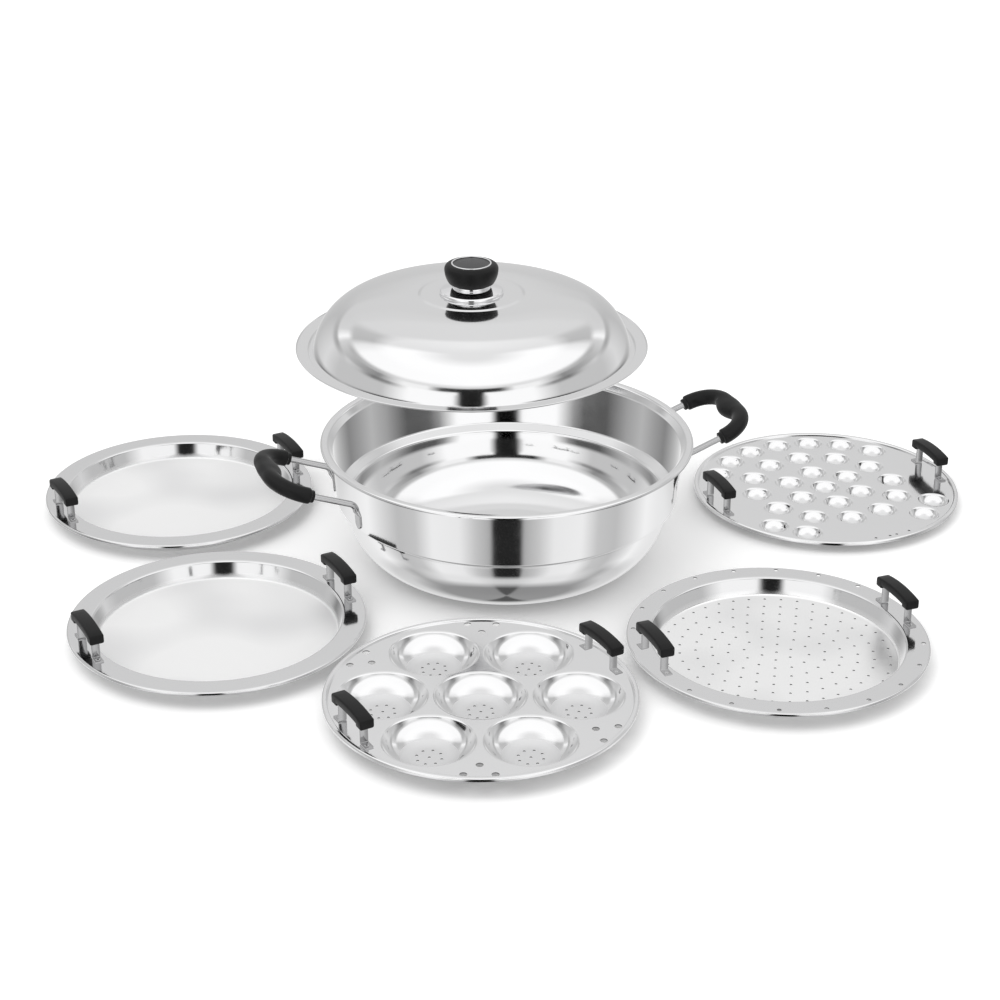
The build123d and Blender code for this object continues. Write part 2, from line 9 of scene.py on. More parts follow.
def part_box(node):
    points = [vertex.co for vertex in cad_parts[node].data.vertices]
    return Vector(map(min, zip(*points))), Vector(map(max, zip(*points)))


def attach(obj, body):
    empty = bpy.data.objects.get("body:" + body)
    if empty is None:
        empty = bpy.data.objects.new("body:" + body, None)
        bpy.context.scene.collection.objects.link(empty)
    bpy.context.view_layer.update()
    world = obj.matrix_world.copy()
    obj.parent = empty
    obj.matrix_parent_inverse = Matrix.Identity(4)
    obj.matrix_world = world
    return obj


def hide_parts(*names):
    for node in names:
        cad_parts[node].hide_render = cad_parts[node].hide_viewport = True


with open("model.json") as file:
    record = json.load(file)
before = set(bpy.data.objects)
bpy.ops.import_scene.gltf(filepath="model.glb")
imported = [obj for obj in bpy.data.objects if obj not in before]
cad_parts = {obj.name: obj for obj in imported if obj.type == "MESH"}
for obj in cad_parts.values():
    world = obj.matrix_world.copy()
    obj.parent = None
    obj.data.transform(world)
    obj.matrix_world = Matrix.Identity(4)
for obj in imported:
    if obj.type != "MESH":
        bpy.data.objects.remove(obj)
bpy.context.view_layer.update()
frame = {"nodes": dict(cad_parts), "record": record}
nodes = frame["nodes"]
scene = bpy.context.scene
print("frame loaded:", len(nodes), "nodes")

mm = 0.001
plateNames = ["back_tray", "front_tray", "idli_plate", "steam_tray", "mini_idli_plate"]


def boxMiddle(name):
    low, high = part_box(name)
    return (low + high) / 2


# where a plate lies: its middle on the floor, turned so that x points at its right handle
def platePlace(name):
    middle = boxMiddle(name)
    reach = boxMiddle(name + "_right_bracket") - middle
    return Matrix.Translation((middle.x, middle.y, 0)) @ Matrix.Rotation(atan2(reach.y, reach.x), 4, "Z")


def newMaterial(name):
    material = bpy.data.materials.new(name)
    material.use_nodes = True
    tree = material.node_tree
    return material, tree, tree.nodes["Principled BSDF"]


def addNode(tree, kind, **settings):
    node = tree.nodes.new(kind)
    for key, value in settings.items():
        setattr(node, key, value)
    return node


def addMath(tree, operation, first, second=None):
    node = addNode(tree, "ShaderNodeMath", operation=operation)
    for socket, value in zip(node.inputs, (first, second)):
        if value is None:
            continue
        if isinstance(value, (int, float)):
            socket.default_value = value
        else:
            tree.links.new(value, socket)
    return node.outputs["Value"]


def addNoise(tree, vector, scale, detail=2.0, roughness=0.5):
    noise = addNode(tree, "ShaderNodeTexNoise")
    noise.inputs["Scale"].default_value = scale
    noise.inputs["Detail"].default_value = detail
    noise.inputs["Roughness"].default_value = roughness
    tree.links.new(vector, noise.inputs["Vector"])
    return noise.outputs["Fac"]


def addRange(tree, value, low=0.0, high=1.0, start=0.0, end=1.0):
    spread = addNode(tree, "ShaderNodeMapRange")
    spread.inputs["From Min"].default_value = start
    spread.inputs["From Max"].default_value = end
    spread.inputs["To Min"].default_value = low
    spread.inputs["To Max"].default_value = high
    tree.links.new(value, spread.inputs["Value"])
    return spread.outputs["Result"]


# from the first colour to the second; each is a colour or the output of a node
def addMix(tree, share, first, second):
    mix = addNode(tree, "ShaderNodeMix", data_type="RGBA")
    tree.links.new(share, mix.inputs["Factor"])
    for socket, colour in (("A", first), ("B", second)):
        if isinstance(colour, tuple):
            mix.inputs[socket].default_value = (*colour, 1)
        else:
            tree.links.new(colour, mix.inputs[socket])
    return mix.outputs["Result"]


def addBump(tree, height, distance, strength=1.0, under=None):
    bump = addNode(tree, "ShaderNodeBump")
    bump.inputs["Strength"].default_value = strength
    bump.inputs["Distance"].default_value = distance
    tree.links.new(height, bump.inputs["Height"])
    if under:
        tree.links.new(under, bump.inputs["Normal"])
    return bump.outputs["Normal"]


# polished sheet: near mirror, with slow waves from pressing, fine buffing rings round the piece's own
# middle, and a little haze that comes and goes
def makeSteel(name, look):
    material, tree, shader = newMaterial(name)
    where = addNode(tree, "ShaderNodeTexCoord").outputs["Object"]
    shader.inputs["Metallic"].default_value = 1.0
    shader.inputs["Base Color"].default_value = (*look["colour"], 1)
    haze = addNoise(tree, where, look["hazeScale"], detail=3.0, roughness=0.6)
    rough = addRange(tree, haze, *look["rough"])
    waves = addNoise(tree, where, look["waveScale"], detail=1.0)
    normal = addBump(tree, waves, look["waveDepth"])
    flat = addNode(tree, "ShaderNodeVectorMath", operation="MULTIPLY")
    flat.inputs[1].default_value = (1, 1, 0)
    tree.links.new(where, flat.inputs[0])
    reach = addNode(tree, "ShaderNodeVectorMath", operation="LENGTH")
    tree.links.new(flat.outputs["Vector"], reach.inputs[0])
    if look.get("floorReach"):
        # satin inside the floor's reach, and paler there: the paler colour is a painted sheen for the
        # floor's glare, laid in slow patches of lighter and darker painted sheen
        rimward = addRange(tree, reach.outputs["Value"], start=look["floorReach"] - look["floorBlend"],
                           end=look["floorReach"] + look["floorBlend"])
        sheenPatches = addNoise(tree, where, look["sheenPatchScale"], detail=1.0)
        sheenPatches = addRange(tree, sheenPatches, *look["sheenPatchSpread"])
        floor = addMix(tree, sheenPatches, look["floorSheenLow"], look["floorColour"])
        tree.links.new(addMix(tree, rimward, floor, look["colour"]), shader.inputs["Base Color"])
        satin = addMath(tree, "SUBTRACT", 1.0, rimward)
        rough = addMath(tree, "ADD", rough, addMath(tree, "MULTIPLY", satin, look["floorRough"]))
    if look.get("cupTop"):
        depth = addNode(tree, "ShaderNodeSeparateXYZ")
        tree.links.new(where, depth.inputs["Vector"])
        satin = addMath(tree, "LESS_THAN", depth.outputs["Z"], look["cupTop"])
        rough = addMath(tree, "ADD", rough, addMath(tree, "MULTIPLY", satin, look["cupRough"]))
    tree.links.new(rough, shader.inputs["Roughness"])
    if look.get("ringDepth"):
        along = addNode(tree, "ShaderNodeCombineXYZ")
        tree.links.new(reach.outputs["Value"], along.inputs["X"])
        rings = addNoise(tree, along.outputs["Vector"], look["ringScale"], detail=4.0, roughness=0.7)
        normal = addBump(tree, rings, look["ringDepth"], under=normal)
    tree.links.new(normal, shader.inputs["Normal"])
    return material


# moulded plastic: near black, satin, with a fine grain
def makePlastic(name, look):
    material, tree, shader = newMaterial(name)
    where = addNode(tree, "ShaderNodeTexCoord").outputs["Object"]
    worn = addNoise(tree, where, look["wearScale"], detail=3.0)
    tree.links.new(addMix(tree, worn, look["dark"], look["light"]), shader.inputs["Base Color"])
    tree.links.new(addRange(tree, worn, *look["rough"]), shader.inputs["Roughness"])
    shader.inputs["Specular IOR Level"].default_value = look["shine"]
    grain = addNoise(tree, where, look["grainScale"])
    tree.links.new(addBump(tree, grain, look["grainDepth"]), shader.inputs["Normal"])
    return material


sheetRings = {"ringScale": 900, "ringDepth": 0.004 * mm}
# the tray floors' white floorColour and its patches are a painted sheen, paler than the rim's own colour
trayFloor = {"floorReach": 101.5 * mm, "floorBlend": 1 * mm, "floorColour": (1.0, 1.0, 1.0),
             "sheenPatchSpread": (-0.7, 2.4)}
steelLooks = {
    "spunSteel": {
        "colour": (0.80, 0.80, 0.805), "rough": (0.05, 0.13), "hazeScale": 60, "waveScale": 14,
        "waveDepth": 0.12 * mm, **sheetRings,
    },
    "traySteel": {
        "colour": (0.74, 0.74, 0.745), "rough": (0.05, 0.12), "hazeScale": 60, "waveScale": 14,
        "waveDepth": 0.08 * mm, **sheetRings, **trayFloor, "floorSheenLow": (0.82, 0.82, 0.825),
        "floorRough": 0.53, "sheenPatchScale": 9,
    },
    "sieveSteel": {
        "colour": (0.74, 0.74, 0.745), "rough": (0.05, 0.14), "hazeScale": 110, "waveScale": 22,
        "waveDepth": 0.10 * mm, **sheetRings, **trayFloor, "floorSheenLow": (0.86, 0.86, 0.865),
        "floorRough": 0.24, "sheenPatchScale": 12,
    },
    "pressedSteel": {
        "colour": (0.80, 0.80, 0.805), "rough": (0.06, 0.15), "hazeScale": 90, "waveScale": 30,
        "waveDepth": 0.10 * mm, "cupTop": 3 * mm, "cupRough": 0.28,
    },
    "fittingSteel": {
        "colour": (0.46, 0.46, 0.465), "rough": (0.12, 0.25), "hazeScale": 400, "waveScale": 300,
        "waveDepth": 0.01 * mm,
    },
    "brightChrome": {
        "colour": (0.85, 0.85, 0.86), "rough": (0.02, 0.06), "hazeScale": 200, "waveScale": 60,
        "waveDepth": 0.005 * mm,
    },
    "turnedBrass": {
        "colour": (0.62, 0.43, 0.16), "rough": (0.25, 0.4), "hazeScale": 300, "waveScale": 500,
        "waveDepth": 0.01 * mm,
    },
    # dark hole walls: a painted shade for the dark inside of the holes
    "holeWallShade": {
        "colour": (0.16, 0.16, 0.16), "rough": (0.4, 0.6), "hazeScale": 500, "waveScale": 900,
        "waveDepth": 0.01 * mm,
    },
}
plasticLooks = {
    "gripPlastic": {
        "dark": (0.003, 0.003, 0.003), "light": (0.009, 0.009, 0.0095), "rough": (0.34, 0.50),
        "wearScale": 90, "shine": 0.2, "grainScale": 1300, "grainDepth": 0.05 * mm,
    },
    "capPlastic": {
        "dark": (0.010, 0.010, 0.011), "light": (0.020, 0.020, 0.022), "rough": (0.18, 0.28),
        "wearScale": 60, "shine": 0.3, "grainScale": 3000, "grainDepth": 0.004 * mm,
    },
}
finishes = {name: makeSteel(name, look) for name, look in steelLooks.items()}
finishes.update({name: makePlastic(name, look) for name, look in plasticLooks.items()})
print("materials made")

# each node has the finish of its slot; of these only the knob's screw, washer and insert stay, because
# the pieces below replace all the others
slotFinish = {
    "polished_steel": "spunSteel", "steel_fittings": "fittingSteel", "bright_chrome": "brightChrome",
    "black_plastic": "gripPlastic", "dark_cap": "capPlastic", "brass": "turnedBrass",
}
nodeSlots = {row["node"]: row["material_slot"] for row in frame["record"]["subparts"]}
for name, node in nodes.items():
    node.data.materials.clear()
    node.data.materials.append(finishes[slotFinish[nodeSlots[name]]])


studio = {
    "cameraPlace": (-0.006, -1.751, 0.88254),
    "cameraPitch": radians(64.637),
    "lens": 77.6,
    "sensorWidth": 36.0,
    "floorSize": 12.0,
    "floorDrop": 0.2 * mm,
    "floorColour": (0.93, 0.93, 0.93),
    "floorRough": 0.9,
    "floorLift": 0.25,
    "unmirrored": ("idli_plate_right", "steam_tray_left", "idli_plate_rivet", "steam_tray_rivet"),
    "diffuseStrength": 0.92,
    "keyPower": 14.0,
    "keySize": 1.6,
    "keyPlace": (-0.9, -0.8, 2.2),
}
# what the metal mirrors: bands of panels, each from its lowest height in degrees (and how softly it
# starts) up to the next one, with a brightness by the turn from the front (0) round to the back (1)
panelBands = [
    (-90, 0, [(0.0, 0.10), (0.06, 0.10), (0.09, 0.32), (0.93, 0.36), (0.955, 0.10), (1.0, 0.10)]),
    (-62, 6, [(0.0, 0.72), (0.05, 0.75), (0.15, 0.93), (0.3, 0.95), (0.42, 0.7), (0.5, 0.5), (0.6, 0.7),
              (1.0, 0.8)]),
    (-45, 4, [(0.0, 0.02), (0.05, 0.02), (0.065, 0.5), (0.12, 0.68), (0.18, 1.0), (0.29, 1.05),
              (0.36, 0.68), (0.44, 0.62), (0.52, 0.85), (0.6, 1.1), (0.68, 1.0), (1.0, 0.8)]),
    (-25.5, 2.5, [(0.0, 0.0), (0.035, 0.0), (0.06, 1.22), (0.19, 1.22), (0.26, 0.3), (0.30, 0.11),
                  (0.40, 0.11), (0.50, 0.42), (0.58, 0.56), (0.66, 0.4), (0.74, 0.28), (0.85, 0.55),
                  (1.0, 0.9)]),
    (-13, 3, [(0.0, 0.015), (0.04, 0.015), (0.07, 1.2), (0.25, 1.2), (0.36, 0.66), (0.6, 0.66), (0.7, 0.85),
              (0.85, 0.6), (1.0, 0.7)]),
    (14, 2, [(0.0, 0.015), (0.045, 0.015), (0.06, 1.2), (0.25, 1.2), (0.34, 0.3), (0.42, 0.2), (0.5, 0.6),
             (0.58, 0.75), (0.7, 0.45), (0.85, 0.6), (1.0, 0.76)]),
    (19, 1, [(0.0, 0.02), (0.12, 0.02), (0.18, 1.1), (0.28, 1.1), (0.40, 0.3), (0.6, 0.6), (0.70, 0.8),
             (0.73, 1.2), (0.78, 0.8), (0.85, 0.76), (1.0, 0.77)]),
    (26, 1, [(0.0, 0.9), (0.3, 0.9), (0.4, 0.6), (0.62, 0.55), (0.70, 0.8), (0.73, 1.2), (0.78, 0.8),
             (0.86, 0.78), (1.0, 0.80)]),
    (31, 2, [(0.0, 1.25), (0.58, 1.2), (0.66, 1.0), (0.71, 0.6), (0.80, 0.65), (0.86, 0.84), (1.0, 0.86)]),
    (50, 4, [(0.0, 1.25), (0.64, 1.25), (0.72, 0.95), (1.0, 1.05)]),
    (74, 8, [(0.0, 0.95), (1.0, 0.95)]),
]


def addShades(tree, value, shades):
    ramp = addNode(tree, "ShaderNodeValToRGB")
    points = ramp.color_ramp.elements
    while len(points) < len(shades):
        points.new(1.0)
    for point, (place, shade) in zip(points, shades):
        point.position = place
        point.color = (shade, shade, shade, 1)
    tree.links.new(value, ramp.inputs["Fac"])
    return ramp.outputs["Color"]


# white for the camera, a plain white dome for light, and a studio with dark and grey panels for mirrors
def makeWorld():
    world = bpy.data.worlds.new("studioWorld")
    scene.world = world
    world.use_nodes = True
    tree = world.node_tree
    tree.nodes.clear()
    where = addNode(tree, "ShaderNodeTexCoord").outputs["Generated"]
    split = addNode(tree, "ShaderNodeSeparateXYZ")
    tree.links.new(where, split.inputs["Vector"])
    sideways = addMath(tree, "ABSOLUTE", split.outputs["X"])
    forward = addMath(tree, "MULTIPLY", split.outputs["Y"], -1.0)
    turn = addMath(tree, "DIVIDE", addMath(tree, "ARCTAN2", sideways, forward), pi)
    height = addMath(tree, "DEGREES", addMath(tree, "ARCSINE", split.outputs["Z"]))
    panels = addShades(tree, turn, panelBands[0][2])
    for low, blend, shades in panelBands[1:]:
        reached = addRange(tree, height, start=low - blend, end=low + blend)
        panels = addMix(tree, reached, panels, addShades(tree, turn, shades))
    paths = addNode(tree, "ShaderNodeLightPath")
    mirrored = addMath(tree, "MAXIMUM", paths.outputs["Is Glossy Ray"], paths.outputs["Is Transmission Ray"])
    # light that reaches the floor by way of the metal comes from above it only
    direct = addMath(tree, "LESS_THAN", paths.outputs["Diffuse Depth"], 0.5)
    mirrored = addMath(tree, "MULTIPLY", mirrored, direct)
    above = addMath(tree, "GREATER_THAN", split.outputs["Z"], 0.0)
    dome, white, mirrorRoom = [addNode(tree, "ShaderNodeBackground") for count in range(3)]
    dome.inputs["Color"].default_value = (1, 1, 1, 1)
    tree.links.new(addMath(tree, "MULTIPLY", above, studio["diffuseStrength"]), dome.inputs["Strength"])
    white.inputs["Color"].default_value = (1, 1, 1, 1)
    tree.links.new(panels, mirrorRoom.inputs["Color"])
    shown = dome.outputs["Background"]
    for share, other in ((paths.outputs["Is Camera Ray"], white), (mirrored, mirrorRoom)):
        mix = addNode(tree, "ShaderNodeMixShader")
        tree.links.new(share, mix.inputs["Fac"])
        tree.links.new(shown, mix.inputs[1])
        tree.links.new(other.outputs["Background"], mix.inputs[2])
        shown = mix.outputs["Shader"]
    out = addNode(tree, "ShaderNodeOutputWorld")
    tree.links.new(shown, out.inputs["Surface"])


def makeFloor():
    half = studio["floorSize"] / 2
    data = bpy.data.meshes.new("floor")
    corners = [(-half, -half, 0), (half, -half, 0), (half, half, 0), (-half, half, 0)]
    data.from_pydata(corners, [], [(0, 1, 2, 3)])
    floor = bpy.data.objects.new("floor", data)
    scene.collection.objects.link(floor)
    material, tree, shader = newMaterial("paleFloor")
    shader.inputs["Base Color"].default_value = (*studio["floorColour"], 1)
    shader.inputs["Roughness"].default_value = studio["floorRough"]
    shader.inputs["Specular IOR Level"].default_value = 0.0
    # what the camera sees is lifted to white, so that only the shadows stay
    shader.inputs["Emission Color"].default_value = (1, 1, 1, 1)
    paths = addNode(tree, "ShaderNodeLightPath")
    lift = addMath(tree, "MULTIPLY", paths.outputs["Is Camera Ray"], studio["floorLift"])
    tree.links.new(lift, shader.inputs["Emission Strength"])
    data.materials.append(material)
    floor.location.z = -studio["floorDrop"]
    floor.visible_glossy = False


def makeLights():
    light = bpy.data.lights.new("keyLight", "AREA")
    light.energy = studio["keyPower"]
    light.size = studio["keySize"]
    lamp = bpy.data.objects.new("keyLight", light)
    lamp.location = studio["keyPlace"]
    lamp.rotation_euler = (-Vector(studio["keyPlace"])).to_track_quat("-Z", "Y").to_euler()
    lamp.visible_glossy = False
    scene.collection.objects.link(lamp)


def makeCamera():
    camera = bpy.data.objects.new("camera", bpy.data.cameras.new("camera"))
    camera.data.lens = studio["lens"]
    camera.data.sensor_width = studio["sensorWidth"]
    camera.data.sensor_fit = "HORIZONTAL"
    camera.location = studio["cameraPlace"]
    camera.rotation_euler = (studio["cameraPitch"], 0, 0)
    scene.collection.objects.link(camera)
    scene.camera = camera


scene.view_settings.view_transform = "Standard"
makeWorld()
makeFloor()
makeLights()
makeCamera()
print("studio made")


fine = {
    "roundSteps": 192, "arcTurn": radians(8), "bowlTurn": radians(4), "smallTurn": radians(15),
    "guard": 0.3 * mm, "smallGuard": 0.1 * mm, "sharpAngle": radians(40), "gripAngle": radians(50),
    "tightCorner": 0.5, "tiny": 1e-6,
}


# a line through the points, with an arc of the given radius at each inner corner; a guard point
# before and after each arc keeps the flats beside it flat
def roundedPath(points, bends, arcTurn=fine["arcTurn"], guard=fine["guard"]):
    points = [Vector(point) for point in points]
    corners = []
    for before, corner, after, bend in zip(points, points[1:], points[2:], bends):
        back, ahead = (before - corner).normalized(), (after - corner).normalized()
        half = back.angle(ahead) / 2
        corners.append((corner, back, ahead, bend, half, bend / tan(half)))
    path = [points[0]]
    reach = 0.0
    for index, (corner, back, ahead, bend, half, cut) in enumerate(corners):
        run = (corner - points[index]).length - cut - reach
        start, end = corner + back * cut, corner + ahead * cut
        if run > 3 * guard:
            if index:
                path.append(path[-1] - back * guard)
            path.append(start + back * guard)
        middle = corner + (back + ahead).normalized() * bend / sin(half)
        turn = pi - 2 * half
        steps = max(3, ceil(turn / arcTurn))
        first, last = start - middle, end - middle
        for step in range(steps + 1):
            share = step / steps
            arm = (first * sin((1 - share) * turn) + last * sin(share * turn)) / sin(turn)
            path.append(middle + arm)
        reach = cut
    if (points[-1] - path[-1]).length > 3 * guard:
        path.append(path[-1] + corners[-1][2] * guard)
    if (points[-1] - path[-1]).length > fine["tiny"]:
        path.append(points[-1])
    return path


# an arc that leaves start along a heading and ends at end
def tangentArc(start, heading, end, steps):
    start, end = Vector(start), Vector(end)
    chord = end - start
    heading = Vector(heading).normalized()
    side = Vector((-heading.y, heading.x))
    across = chord.dot(side)
    radius = chord.length_squared / (2 * across)
    middle = start + side * radius
    first = start - middle
    sweep = 2 * atan2(across, chord.dot(heading))
    path = []
    for step in range(1, steps + 1):
        turn = sweep * step / steps
        arm = Vector((first.x * cos(turn) - first.y * sin(turn), first.x * sin(turn) + first.y * cos(turn)))
        path.append(middle + arm)
    return path


# the same line moved to its left
def besidePath(path, offset):
    moved = []
    for index, point in enumerate(path):
        ahead = path[min(index + 1, len(path) - 1)] - point
        back = point - path[max(index - 1, 0)]
        ahead = ahead.normalized() if ahead.length else back.normalized()
        back = back.normalized() if back.length else ahead
        along = (ahead + back).normalized()
        stretch = 1 / max(along.dot(ahead), fine["tightCorner"])
        moved.append(point + Vector((-along.y, along.x)) * offset * stretch)
    return moved


# faces from one ring of points to the next; either may be a single point on the axis
def bridge(mesh, first, second):
    count = max(len(first), len(second))
    faces = []
    for index in range(count):
        follow = (index + 1) % count
        if len(first) == 1:
            corners = [first[0], second[follow], second[index]]
        elif len(second) == 1:
            corners = [first[index], first[follow], second[0]]
        else:
            corners = [first[index], first[follow], second[follow], second[index]]
        faces.append(mesh.faces.new(corners))
    return faces


def makeRing(mesh, radius, height, steps, middle=(0, 0)):
    if radius < fine["tiny"]:
        return [mesh.verts.new((middle[0], middle[1], height))]
    return [mesh.verts.new((middle[0] + radius * cos(2 * pi * step / steps),
                            middle[1] + radius * sin(2 * pi * step / steps), height))
            for step in range(steps)]


def spinPath(mesh, path, steps, middle=(0, 0)):
    rings = [makeRing(mesh, point[0], point[1], steps, middle) for point in path]
    for first, second in zip(rings, rings[1:]):
        bridge(mesh, first, second)
    return rings


# a round sheet from the path of its underside; its cut edge is closed at the given ends of the path
def spinSheet(mesh, path, thickness, steps=fine["roundSteps"], middle=(0, 0), closed=()):
    low = spinPath(mesh, path, steps, middle)
    top = spinPath(mesh, besidePath(path, thickness), steps, middle)
    for end in closed:
        bridge(mesh, low[end], top[end])
    return low, top


# fills the flat between an outline and the holes in it
def fillFlat(mesh, outline, holes):
    loops = [outline] + holes
    verts, edges, owners = [], [], []
    for index, loop in enumerate(loops):
        start = len(verts)
        edges += [(start + step, start + (step + 1) % len(loop)) for step in range(len(loop))]
        verts += loop
        owners += [index] * len(loop)
    found = geometry.delaunay_2d_cdt([vert.co.xy for vert in verts], edges, [], 1, fine["tiny"] / 10)
    for face in found[2]:
        corners = [found[3][corner][0] for corner in face]
        # the holes are round, so a triangle with all its corners on one hole lies inside it
        held = {owners[corner] for corner in corners}
        if len(held) > 1 or held == {0}:
            mesh.faces.new([verts[corner] for corner in corners])


# holes of one radius through a flat sheet: their rings in the underside and in the top
def drillHoles(mesh, places, radius, low, top, steps):
    under, over = [], []
    for place in places:
        under.append(makeRing(mesh, radius, low, steps, place))
        over.append(makeRing(mesh, radius, top, steps, place))
        for face in bridge(mesh, under[-1], over[-1]):
            # the hole walls take the second material, a dark painted shade
            face.material_index = 1
    return under, over


def ringPlaces(radius, turns):
    return [(radius * cos(turn), radius * sin(turn)) for turn in turns]


def fullRing(radius, count, firstTurn=0.0):
    return ringPlaces(radius, [firstTurn + 2 * pi * step / count for step in range(count)])


# a closed tube: at each place (its middle, its way sideways and its way up) a section of offsets
def sweepSections(mesh, places, sections):
    rings = []
    for (middle, sideways, upward), section in zip(places, sections):
        rings.append([mesh.verts.new(middle + sideways * wide + upward * high) for wide, high in section])
    for first, second in zip(rings, rings[1:]):
        bridge(mesh, first, second)
    for ring in (rings[0], rings[-1]):
        mesh.faces.new(ring)


# an oval, or a rounded block where power is above 2
def ovalSection(halfWide, halfHigh, power=2.0, steps=32):
    section = []
    for step in range(steps):
        turn = 2 * pi * step / steps
        wide, high = cos(turn), sin(turn)
        section.append((halfWide * abs(wide) ** (2 / power) * (1 if wide >= 0 else -1),
                        halfHigh * abs(high) ** (2 / power) * (1 if high >= 0 else -1)))
    return section


def finishPiece(mesh, name, body, finish, node, place=None, sharp=fine["sharpAngle"]):
    bmesh.ops.recalc_face_normals(mesh, faces=mesh.faces)
    data = bpy.data.meshes.new(name)
    mesh.to_mesh(data)
    mesh.free()
    data.materials.append(finishes[finish])
    # the drilled sheets get a second material for their hole walls, a dark painted shade
    if finish in ("sieveSteel", "pressedSteel"):
        data.materials.append(finishes["holeWallShade"])
    data.shade_smooth()
    data.set_sharp_from_angle(angle=sharp)
    piece = bpy.data.objects.new(name, data)
    scene.collection.objects.link(piece)
    # turned in its mesh and moved as an object: its box stays tight, and its own middle is its origin
    if place is not None:
        data.transform(place.to_3x3().to_4x4())
        piece.location = place.translation
    # the sheets mirror the studio, the knob and most plate handles, and not one another
    sheet = finish in ("spunSteel", "traySteel", "sieveSteel", "pressedSteel")
    piece.visible_glossy = not (sheet or body == "pot" or name.startswith(studio["unmirrored"]))
    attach(piece, body)
    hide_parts(node)


def smooth(share):
    share = min(max(share, 0.0), 1.0)
    return share * share * (3 - 2 * share)


pot = {
    "rimRadius": 165 * mm, "height": 115 * mm, "sheet": 1.0 * mm, "rimBand": 6 * mm, "turnDown": 2.8 * mm,
    "rimBend": 1.2 * mm, "flareWidth": 4 * mm, "flareHeight": 6 * mm, "bandHeight": 52.6 * mm,
    "bandTaper": 3 * mm, "ledgeWidth": 9 * mm, "ledgeFall": 4.4 * mm, "ledgeBend": 2 * mm,
    "wallBend": 3 * mm, "bowlRound": 0.96,
}
pot["ledgeHeight"] = pot["height"] - pot["bandHeight"]
pot["ledgeLow"] = pot["ledgeHeight"] - pot["ledgeFall"]
pot["bandTop"] = pot["height"] - pot["sheet"] - pot["flareHeight"]
pot["bandTopRadius"] = pot["rimRadius"] - pot["rimBand"] - pot["flareWidth"]
pot["bandLowRadius"] = pot["bandTopRadius"] - pot["bandTaper"]
pot["bowlRadius"] = pot["bandLowRadius"] - pot["ledgeWidth"]


def makePot():
    edge = pot["rimRadius"] - pot["sheet"]
    rim = pot["height"] - pot["sheet"]
    points = [(0, 0), (pot["bowlRadius"], 0), (pot["bowlRadius"], pot["ledgeLow"]),
              (pot["bandLowRadius"], pot["ledgeHeight"]), (pot["bandTopRadius"], pot["bandTop"]),
              (pot["bandTopRadius"] + pot["flareWidth"], rim), (edge, rim),
              (edge, pot["height"] - pot["turnDown"])]
    bends = [pot["bowlRound"] * pot["ledgeLow"], pot["ledgeBend"], pot["wallBend"], pot["wallBend"],
             pot["wallBend"], pot["rimBend"]]
    mesh = bmesh.new()
    spinSheet(mesh, roundedPath(points, bends, fine["bowlTurn"]), pot["sheet"], closed=[-1])
    finishPiece(mesh, "potShell", "pot", "spunSteel", "pot_body")


makePot()
print("pot made")


lid = {
    "radius": 162 * mm, "sheet": 0.8 * mm, "domeHeight": 50 * mm, "grooveWidth": 5.7 * mm,
    "grooveDepth": 2.0 * mm, "grooveBend": 1.1 * mm, "lip": 1.4 * mm, "grooveRadius": 151 * mm,
    "plateauRadius": 46 * mm, "plateauStep": 1.0 * mm, "plateauBend": 3 * mm, "crownReach": 0.72,
    "crownFall": 5.5 * mm, "crownSteps": 14, "domeSteps": 40, "hole": 2.55 * mm,
}
lid["domeRadius"] = lid["grooveRadius"] - lid["grooveWidth"]
lidPlace = Matrix.Translation((boxMiddle("lid_shell").x, boxMiddle("lid_shell").y,
                               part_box("lid_shell")[0].z + lid["grooveDepth"]))


def makeLid():
    top = lid["domeHeight"]
    step = lid["plateauStep"]
    stepEnd = lid["plateauRadius"] + 3 * lid["plateauBend"]
    bend = lid["plateauBend"]
    path = roundedPath([(lid["hole"], top), (lid["plateauRadius"], top),
                        (lid["plateauRadius"] + bend, top - step), (stepEnd, top - step)], [bend, bend])
    crownEnd = (lid["crownReach"] * lid["domeRadius"], top - step - lid["crownFall"])
    path += tangentArc(path[-1], (1, 0), crownEnd, lid["crownSteps"])
    # the shoulder goes on from the way that the crown ends
    heading = path[-1] - path[-2]
    turn = atan2(heading.y, heading.x)
    previous = path[-2] - path[-3]
    turn += (turn - atan2(previous.y, previous.x)) / 2
    path += tangentArc(path[-1], (cos(turn), sin(turn)), (lid["domeRadius"], 0), lid["domeSteps"])
    outer = lid["radius"] - lid["sheet"]
    skirt = roundedPath([path[-1], (lid["domeRadius"], -lid["grooveDepth"]),
                         (lid["grooveRadius"] - lid["sheet"], -lid["grooveDepth"]), (lid["grooveRadius"], 0),
                         (outer, 0), (lid["radius"], lid["lip"])], [lid["grooveBend"]] * 4)
    path += skirt[1:]
    mesh = bmesh.new()
    spinSheet(mesh, path, lid["sheet"], closed=[-1, 0])
    finishPiece(mesh, "lidShell", "lid", "spunSteel", "lid_shell", lidPlace)


makeLid()
print("lid made")


plate = {
    "radius": 125 * mm, "sheet": 0.8 * mm, "bend": 1.5 * mm, "edgeDrop": 1.6 * mm,
    "trayDepth": 15.5 * mm, "trayFlange": 19 * mm, "trayLean": 4.5 * mm, "trayBend": 3 * mm,
}


def trayPath():
    foot = plate["radius"] - plate["trayFlange"] - plate["trayLean"]
    edge = plate["radius"] - plate["sheet"]
    points = [(0, 0), (foot, 0), (plate["radius"] - plate["trayFlange"], plate["trayDepth"]),
              (edge, plate["trayDepth"]), (edge, plate["trayDepth"] - plate["edgeDrop"])]
    return roundedPath(points, [plate["trayBend"], plate["bend"], plate["edgeDrop"] / 2])


def makeTray(name, piece):
    mesh = bmesh.new()
    spinSheet(mesh, trayPath(), plate["sheet"], closed=[-1])
    finishPiece(mesh, piece, name + "_body", "traySteel", name, platePlace(name))


makeTray("back_tray", "backTray")
makeTray("front_tray", "frontTray")
print("trays made")


